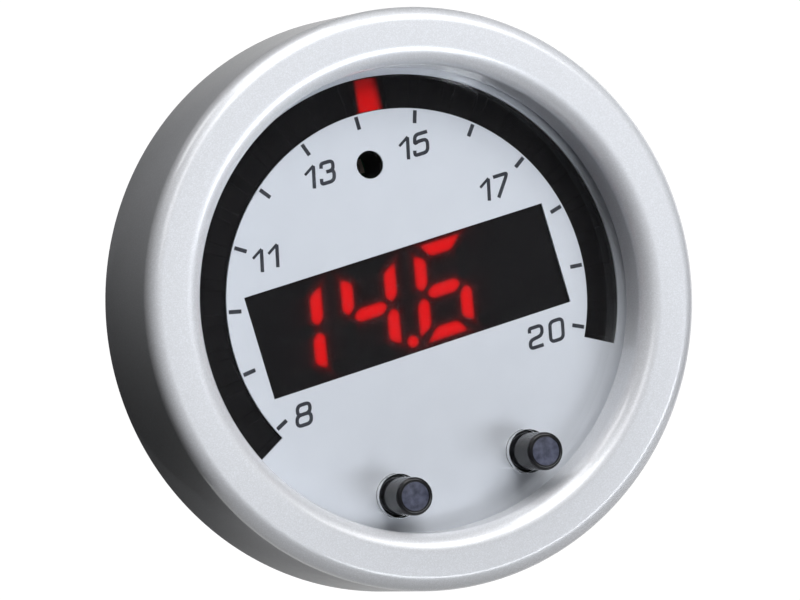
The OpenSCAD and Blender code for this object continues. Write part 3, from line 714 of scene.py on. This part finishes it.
# %% [markdown]
# ## Studs
# Two steel studs hold the gauge from behind the panel. Rings stacked on a rod would look
# like a thread from afar, but a real one is a ridge that climbs by one pitch in each
# turn. So the radius of the shank depends on both the height and the direction: the
# outline is the same all round, only its phase moves.

# %% Threaded studs
stud_x, stud_crest, stud_root, thread_pitch = 19.0, 1.98, 1.60, 0.7
shank_low, shank_high = -18.62, -6.2
stud_end, stud_end_r = -19.1, 1.52
neck_r, neck_high = 1.75, -5.6
collar_r, collar_high = 2.4, -3.4
head_r, head_high = 3.0, -2.5
stud_steps, rows_per_pitch = 36, 10
# Half of the flat root and one flank, as shares of half a pitch
root_share, flank_share = 0.12, 0.70


def thread_radius(turn, height):
    tooth = abs(2 * ((height / thread_pitch - turn / 360) % 1) - 1)
    valley = 1 - min(1.0, max(0.0, (tooth - root_share) / flank_share))
    fade = min(1.0, (shank_high - height) / thread_pitch)
    return stud_crest - (stud_crest - stud_root) * valley * max(0.0, fade)


shank_rows = round((shank_high - shank_low) / thread_pitch * rows_per_pitch)
shank = [(None, shank_low + (shank_high - shank_low) * i / shank_rows)
         for i in range(shank_rows + 1)]
stud_outline = ([(0, stud_end), (stud_end_r, stud_end)] + shank +
                [(neck_r, shank_high), (neck_r, neck_high), (collar_r, neck_high),
                 (collar_r, collar_high), (head_r, collar_high), (head_r, head_high),
                 (0, head_high)])
points, faces = [], []
for side in (-1, 1):
    first, count = len(points), len(stud_outline)
    for step in range(stud_steps):
        turn = 360 * step / stud_steps
        for radius, height in stud_outline:
            here = thread_radius(turn, height) if radius is None else radius
            x, y = polar(here, turn)
            points.append(on_dial(side * stud_x + x, y, height))
    for step in range(stud_steps):
        here = first + step * count
        there = first + (step + 1) % stud_steps * count
        faces += [(here + i, here + i + 1, there + i + 1, there + i)
                  for i in range(count - 1)]
studs = make_piece("threaded_studs", points, faces, smooth_below=50)
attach(studs, "gauge")
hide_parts("mounting_studs")
print("studs:", len(faces), "faces")

# %% [markdown]
# ## Finishes
# Every finish is made of nodes, so that it has its own grain at its real size and no
# picture has to be wrapped round a shape. Object coordinates are in metres, so a noise
# whose cells are to be s millimetres across gets a scale of 1000 / s. A ramp then turns
# the noise into a change of tone.

# %% Start a finish: grain and tone
def grain_scale(size_mm):
    return 1 / (size_mm * MM)


def start_material(name):
    material = bpy.data.materials.new(name)
    material.use_nodes = True
    tree = material.node_tree
    shader = tree.nodes["Principled BSDF"]
    place = tree.nodes.new("ShaderNodeTexCoord")
    return material, tree, shader, place.outputs["Object"]


def noise(tree, place, size_mm, detail=3):
    node = tree.nodes.new("ShaderNodeTexNoise")
    node.inputs["Scale"].default_value = grain_scale(size_mm)
    node.inputs["Detail"].default_value = detail
    tree.links.new(place, node.inputs["Vector"])
    return node.outputs["Fac"]


def ramp(tree, value, *stops):
    node = tree.nodes.new("ShaderNodeValToRGB")
    while len(node.color_ramp.elements) < len(stops):
        node.color_ramp.elements.new(0.5)
    for element, (place, colour) in zip(node.color_ramp.elements, stops):
        element.position = place
        element.color = (*colour, 1)
    tree.links.new(value, node.inputs["Fac"])
    return node.outputs["Color"]


def shade(colour, by):
    return tuple(c * by for c in colour)


# %% [markdown]
# Three more helpers finish the set. One gives a surface relief of a set depth, one does
# sums with sockets and numbers, and one puts the finish on a piece. A CAD piece already
# has a material, and there it takes the place of the old one.

# %% Relief, sums and paint
def bump(tree, shader, height, distance_mm):
    node = tree.nodes.new("ShaderNodeBump")
    node.inputs["Distance"].default_value = distance_mm * MM
    tree.links.new(height, node.inputs["Height"])
    tree.links.new(node.outputs["Normal"], shader.inputs["Normal"])


def worked_out(tree, operation, *values):
    node = tree.nodes.new("ShaderNodeMath")
    node.operation = operation
    for socket, value in zip(node.inputs, values):
        if isinstance(value, float):
            socket.default_value = value
        else:
            tree.links.new(value, socket)
    return node.outputs[0]


def paint(piece, material):
    if piece.data.materials:
        for slot in piece.material_slots:
            slot.material = material
    else:
        piece.data.materials.append(material)


# %% [markdown]
# The bezel's paint is a light silver: a pale base full of tiny flakes under a glossy
# clear coat. A plain metal would mirror the room, and a plain grey would look like
# plastic, so the paint is a quarter metal. Cells about a tenth of a millimetre across
# give each flake its own grey, and the coat adds the sharp thin lights on the roundings.

# %% Silver paint
flake_size = 0.09
silver, tree, shader, place = start_material("silver_flake_paint")
flakes = tree.nodes.new("ShaderNodeTexVoronoi")
flakes.inputs["Scale"].default_value = grain_scale(flake_size)
tree.links.new(place, flakes.inputs["Vector"])
flake_grey = tree.nodes.new("ShaderNodeSeparateColor")
tree.links.new(flakes.outputs["Color"], flake_grey.inputs["Color"])
tree.links.new(ramp(tree, flake_grey.outputs["Red"], (0.0, (0.665, 0.675, 0.70)),
                    (0.7, (0.715, 0.727, 0.757)), (1.0, (0.78, 0.795, 0.835))),
               shader.inputs["Base Color"])
shader.inputs["Metallic"].default_value = 0.25
shader.inputs["Roughness"].default_value = 0.42
shader.inputs["Coat Weight"].default_value = 0.7
shader.inputs["Coat Roughness"].default_value = 0.06
paint(bezel, silver)
print("flakes, mm:", flake_size)

# %% [markdown]
# The face is white with a cool tint, and its print is dark grey-blue, not black. Both
# have a faint unevenness, as screen print has: a slow change of tone over some
# millimetres, and on the face a grain a few thousandths of a millimetre deep.

# %% Printed face and ink
face_white, tree, shader, place = start_material("dial_white_print")
tree.links.new(ramp(tree, noise(tree, place, 2.5), (0.3, (0.69, 0.712, 0.76)),
                    (0.7, (0.715, 0.738, 0.785))), shader.inputs["Base Color"])
shader.inputs["Roughness"].default_value = 0.55
bump(tree, shader, noise(tree, place, 0.12, 2), 0.004)
paint(faceplate, face_white)

ink, tree, shader, place = start_material("dial_ink")
tree.links.new(ramp(tree, noise(tree, place, 0.25), (0.3, (0.009, 0.010, 0.017)),
                    (0.7, (0.013, 0.015, 0.024))), shader.inputs["Base Color"])
shader.inputs["Roughness"].default_value = 0.45
shader.inputs["Specular IOR Level"].default_value = 0.35
paint(dial_ink, ink)
print("print:", face_white.name, "and", ink.name)

# %% [markdown]
# The lens is clear acrylic. Light that comes through a glass shader makes caustics, and
# the renderer leaves those out, so the dial would go dark. Here shadow and diffuse rays
# pass straight through, and only what the camera sees is bent and reflected.

# %% Clear lens
clear = bpy.data.materials.new("clear_acrylic")
clear.use_nodes = True
tree = clear.node_tree
tree.nodes.clear()
out = tree.nodes.new("ShaderNodeOutputMaterial")
glass = tree.nodes.new("ShaderNodeBsdfGlass")
glass.inputs["IOR"].default_value = 1.49
glass.inputs["Roughness"].default_value = 0.0
glass.inputs["Color"].default_value = (0.99, 0.995, 1.0, 1)
through = tree.nodes.new("ShaderNodeBsdfTransparent")
through.inputs["Color"].default_value = (0.96, 0.965, 0.97, 1)
rays = tree.nodes.new("ShaderNodeLightPath")
mix = tree.nodes.new("ShaderNodeMixShader")
tree.links.new(worked_out(tree, "MAXIMUM", rays.outputs["Is Shadow Ray"],
                          rays.outputs["Is Diffuse Ray"]), mix.inputs[0])
tree.links.new(glass.outputs[0], mix.inputs[1])
tree.links.new(through.outputs[0], mix.inputs[2])
tree.links.new(mix.outputs[0], out.inputs["Surface"])
paint(lens, clear)
print("lens:", clear.name)

# %% [markdown]
# The filter is acrylic too, but so dark that the dial behind it is only seen where a
# light is on. A dark glass would bend every ray once more for nothing. A mix of a nearly
# black shader and a see-through one does it. A ray goes through two faces of the disc,
# so each face passes the root of what the whole filter passes.

# %% Smoked filter
smoke_pass = 0.08
smoked, tree, shader, place = start_material("smoked_acrylic")
tree.links.new(ramp(tree, noise(tree, place, 3), (0.3, (0.0120, 0.0112, 0.0118)),
                    (0.7, (0.0155, 0.0146, 0.0152))), shader.inputs["Base Color"])
shader.inputs["Roughness"].default_value = 0.12
see = tree.nodes.new("ShaderNodeBsdfTransparent")
mix = tree.nodes.new("ShaderNodeMixShader")
mix.inputs[0].default_value = 1 - math.sqrt(smoke_pass)
tree.links.new(see.outputs[0], mix.inputs[1])
tree.links.new(shader.outputs[0], mix.inputs[2])
tree.links.new(mix.outputs[0], tree.nodes["Material Output"].inputs["Surface"])
paint(smoke, smoked)
print("filter passes:", smoke_pass)

# %% [markdown]
# The red of the display is seen through the smoked filter, which passes only a part of
# it, so each light is stronger than the red that is seen. The glow that the points of a
# mesh carry is multiplied by that strength. Small lamps behind the bars could light them
# too, but they would cost time and bring noise.

# %% Red light
seen_red = (0.80, 0.0004, 0.0010)
seen_bars, seen_haze, seen_ring = 0.98, 1.0, 0.74


def glowing(name, seen, base):
    material, tree, shader, place = start_material(name)
    tree.links.new(ramp(tree, noise(tree, place, 0.4), (0.3, shade(base, 0.8)),
                        (0.7, base)), shader.inputs["Base Color"])
    shader.inputs["Roughness"].default_value = 0.5
    shader.inputs["Emission Color"].default_value = (*seen_red, 1)
    glow = tree.nodes.new("ShaderNodeAttribute")
    glow.attribute_name = "glow"
    tree.links.new(worked_out(tree, "MULTIPLY", glow.outputs["Fac"], seen / smoke_pass),
                   shader.inputs["Emission Strength"])
    return material


ring_light = glowing("lit_ring_light", seen_ring, (0.05, 0.012, 0.012))
paint(lit_bars, glowing("lit_red_diffuser", seen_bars, (0.20, 0.02, 0.02)))
paint(display_body, glowing("display_moulding", seen_haze, (0.012, 0.011, 0.012)))
paint(lit_pipe, ring_light)
paint(light_creep, ring_light)
print("strength of the lit bars:", round(seen_bars / smoke_pass, 2))

# %% [markdown]
# The keys are black and glossy on the shank, with a duller dish. The blue-grey of the dish
# is a painted reflection on the black plastic. Two materials would need a seam between
# them. One material that reads the mark on the points of the dish can change both the
# colour and the gloss, and the change is soft.

# %% Black keys with a dull dish
shank_gloss, dish_dulling = 0.16, 0.30
key_black, tree, shader, place = start_material("glossy_black_key")
in_dish = tree.nodes.new("ShaderNodeAttribute")
in_dish.attribute_name = "dish"
blend = tree.nodes.new("ShaderNodeMix")
blend.data_type = "RGBA"
tree.links.new(in_dish.outputs["Fac"], blend.inputs["Factor"])
tree.links.new(ramp(tree, noise(tree, place, 1.0), (0.3, (0.010, 0.010, 0.012)),
                    (0.7, (0.016, 0.016, 0.018))), blend.inputs["A"])
# The dish colour: a painted bluish, mottled reflection over black plastic
tree.links.new(ramp(tree, noise(tree, place, 0.8), (0.35, (0.030, 0.034, 0.060)),
                    (0.65, (0.090, 0.098, 0.150))), blend.inputs["B"])
tree.links.new(blend.outputs["Result"], shader.inputs["Base Color"])
tree.links.new(worked_out(tree, "MULTIPLY_ADD", in_dish.outputs["Fac"], dish_dulling,
                          shank_gloss), shader.inputs["Roughness"])
shader.inputs["Specular IOR Level"].default_value = 0.3
bump(tree, shader, noise(tree, place, 0.25), 0.004)
for key in keys.values():
    paint(key, key_black)
print("keys:", key_black.name)

# %% [markdown]
# The rest of the gauge is moulded plastic, rubber, circuit board and metal. A moulding
# is a colour with a slow change of tone and a fine grain of a set depth, and a metal is
# the same with a mirror under it. Two functions that take a colour and a roughness make
# all of them, so each real material is one line.

# %% Mouldings and metals
def moulded(name, colour, roughness, grain_mm=0.18, grain_depth=0.012, coat=0.0):
    material, tree, shader, place = start_material(name)
    tree.links.new(ramp(tree, noise(tree, place, 2.2), (0.3, shade(colour, 0.85)),
                        (0.7, shade(colour, 1.12))), shader.inputs["Base Color"])
    shader.inputs["Roughness"].default_value = roughness
    shader.inputs["Coat Weight"].default_value = coat
    shader.inputs["Coat Roughness"].default_value = 0.08
    bump(tree, shader, noise(tree, place, grain_mm), grain_depth)
    return material


def metal(name, colour, roughness):
    material, tree, shader, place = start_material(name)
    tree.links.new(ramp(tree, noise(tree, place, 0.3), (0.3, shade(colour, 0.85)),
                        (0.7, colour)), shader.inputs["Base Color"])
    shader.inputs["Metallic"].default_value = 1.0
    shader.inputs["Roughness"].default_value = roughness
    bump(tree, shader, noise(tree, place, 0.15), 0.003)
    return material


board_green = moulded("board_green", (0.03, 0.12, 0.05), 0.45, 0.5, 0.01, 0.3)
black_part = moulded("black_moulding", (0.014, 0.014, 0.015), 0.5)
chip_black = moulded("chip_black", (0.022, 0.022, 0.024), 0.55, 0.08)
socket_black = moulded("socket_black", (0.018, 0.018, 0.018), 0.45)
gold = metal("gold_pin", (0.80, 0.58, 0.25), 0.28)
steel = metal("zinc_steel", (0.62, 0.62, 0.60), 0.34)
print("shared:", [m.name for m in (board_green, black_part, chip_black, socket_black)])
print("metals:", [m.name for m in (gold, steel)])

# %% [markdown]
# The pieces that keep their CAD shape are named here, each with its finish. Most of them
# are inside the housing, but they show when the gauge is taken apart, and a reader of
# this list can see what the gauge is made of.

# %% Finishes of the CAD pieces
FINISHES = {
    "bezel_seal": moulded("seal_rubber", (0.02, 0.02, 0.02), 0.8, 0.3),
    "light_box": black_part,
    "bar_light_pipes": moulded("dark_light_pipe", (0.014, 0.013, 0.014), 0.5),
    "bar_leds": moulded("led_cream", (0.62, 0.58, 0.44), 0.4),
    "dark_segments": moulded("dark_bar", (0.014, 0.012, 0.013), 0.5),
    "display_pins": gold,
    "display_board": board_green,
    "light_sensor": moulded("sensor_dark", (0.50, 0.42, 0.36), 0.3),
    "mode_switch": steel,
    "select_switch": steel,
    "mode_plunger": black_part,
    "select_plunger": black_part,
    "board_link": moulded("link_black", (0.018, 0.018, 0.018), 0.5),
    "link_pins": gold,
    "main_board": board_green,
    "processor_chip": chip_black,
    "bus_chip": chip_black,
    "regulator": chip_black,
    "power_coil": moulded("coil_grey", (0.10, 0.10, 0.10), 0.6),
    "harness_socket": socket_black,
    "harness_pins": gold,
    "bus_socket": socket_black,
    "bus_pins": gold,
    "housing": moulded("housing_black", (0.022, 0.022, 0.024), 0.55, 0.22, 0.02),
    "neck_ring": moulded("housing_black_ring", (0.022, 0.022, 0.024), 0.5, 0.22, 0.02),
    "board_screws": steel,
    "mounting_studs": steel,
}
for node, finish in FINISHES.items():
    paint(nodes[node], finish)
paint(studs, steel)
print("CAD pieces with a finish:", len(FINISHES))

# %% [markdown]
# ## Studio
# The photograph was lit by large soft lights. Two big soft boxes, in front and to the
# right, light the dial from above, and two small ones fill in from both sides. A wide,
# cool one at the lower right lights the bottom of the rim. One overhead and one at the
# top left light the side wall, and the left side below falls into shade. One bright sky
# could light the dial too, but it would leave no shade. Each lamp is given as the share
# of full light that a white card would get where the dial is, so a lamp can be moved or
# resized and still give the same.

# %% Lamps
dial_middle = Vector((0, -8, 0))


def soft_lamp(name, place, width, height, share, colour=(1, 1, 1)):
    sight = dial_middle - Vector(place)
    data = bpy.data.lights.new(name, "AREA")
    data.color = colour
    data.shape = "RECTANGLE"
    data.size = width * MM
    data.size_y = height * MM
    data.energy = share * math.pi ** 2 * (sight.length * MM) ** 2
    lamp = bpy.data.objects.new(name, data)
    bpy.context.scene.collection.objects.link(lamp)
    lamp.matrix_world = (Matrix.Translation(Vector(place) * MM) @
                         sight.to_track_quat("-Z", "Y").to_matrix().to_4x4())


soft_lamp("upper_front_softbox", (100, -600, 500), 320, 440, 0.37)
soft_lamp("upper_right_softbox", (420, -560, 460), 340, 420, 0.26)
soft_lamp("left_fill_softbox", (-170, -740, 260), 300, 200, 0.06)
soft_lamp("right_fill_softbox", (430, -640, 240), 300, 200, 0.08)
soft_lamp("lower_right_softbox", (360, -660, -375), 560, 320, 0.70, (0.92, 0.955, 1.0))
soft_lamp("overhead_softbox", (40, -280, 760), 400, 320, 0.26)
soft_lamp("top_left_softbox", (-350, -150, 680), 260, 260, 0.12)
print("lamps:", len(bpy.data.lights))

# %% [markdown]
# The room itself is nearly dark, so that the shade stays deep, but the camera sees it as
# white, like the paper of a catalogue. A light path node tells the two apart: rays that
# come straight from the camera get the white, and all the others get the dim room.

# %% World
world = bpy.data.worlds.new("studio_room")
bpy.context.scene.world = world
world.use_nodes = True
tree = world.node_tree
tree.nodes.clear()
rays = tree.nodes.new("ShaderNodeLightPath")
dim = tree.nodes.new("ShaderNodeBackground")
dim.inputs["Color"].default_value = (0.95, 0.97, 1.0, 1)
dim.inputs["Strength"].default_value = 0.004
white = tree.nodes.new("ShaderNodeBackground")
white.inputs["Color"].default_value = (1, 1, 1, 1)
white.inputs["Strength"].default_value = 1.0
mix = tree.nodes.new("ShaderNodeMixShader")
out = tree.nodes.new("ShaderNodeOutputWorld")
tree.links.new(rays.outputs["Is Camera Ray"], mix.inputs[0])
tree.links.new(dim.outputs[0], mix.inputs[1])
tree.links.new(white.outputs[0], mix.inputs[2])
tree.links.new(mix.outputs[0], out.inputs["Surface"])
print("room:", world.name)

# %% [markdown]
# The floor and the card behind the gauge are pale and also glow, for the camera and for
# what is mirrored in paint and glass, but not for light that bounces off dull pieces. So
# they look white without lighting the gauge. In mirrors the glow fades out along one
# axis: a lamp moved about could do that too, but it would change the light everywhere.

# %% Material of the stage
def stage_material(name, glow, axis, fade_start, fade_end):
    material, tree, shader, place = start_material(name)
    shader.inputs["Base Color"].default_value = (0.10, 0.10, 0.101, 1)
    shader.inputs["Roughness"].default_value = 0.9
    shader.inputs["Specular IOR Level"].default_value = 0.1
    shader.inputs["Emission Color"].default_value = (1, 1, 1, 1)
    rays = tree.nodes.new("ShaderNodeLightPath")
    split = tree.nodes.new("ShaderNodeSeparateXYZ")
    tree.links.new(place, split.inputs[0])
    fall = tree.nodes.new("ShaderNodeMapRange")
    fall.interpolation_type = "SMOOTHSTEP"
    fall.inputs["From Min"].default_value = fade_start * MM
    fall.inputs["From Max"].default_value = fade_end * MM
    tree.links.new(split.outputs[axis], fall.inputs["Value"])
    mirrored = worked_out(tree, "MAXIMUM", rays.outputs["Is Glossy Ray"],
                          rays.outputs["Is Transmission Ray"])
    faded = worked_out(tree, "MULTIPLY", mirrored, fall.outputs["Result"])
    seen = worked_out(tree, "MAXIMUM", faded, rays.outputs["Is Camera Ray"])
    tree.links.new(worked_out(tree, "MULTIPLY", seen, glow),
                   shader.inputs["Emission Strength"])
    return material


# %% [markdown]
# The floor is a plain pale sheet below the gauge, and a white card stands behind it. In
# mirrors the floor fades out towards the front and the card towards the left, so that
# they brighten only the parts of the rim that are bright in the photograph, and leave
# the lens clear.

# %% Floor and card
def card(name, corners, material):
    piece = make_piece(name, [Vector(c) * MM for c in corners], [(0, 1, 2, 3)])
    piece.data.materials.append(material)


half, floor_z = 120, -75
card("studio_floor", [(-half, -half, floor_z), (half, -half, floor_z),
                      (half, half, floor_z), (-half, half, floor_z)],
     stage_material("pale_floor", 0.84, "Y", -half, 0))
card_y, card_left, card_right, card_low, card_high = 800, -100, 2400, -1600, 500
card("white_card", [(card_left, card_y, card_low), (card_right, card_y, card_low),
                    (card_right, card_y, card_high), (card_left, card_y, card_high)],
     stage_material("white_card", 1.0, "X", 0, 600))
print("floor, mm:", 2 * half, "wide")
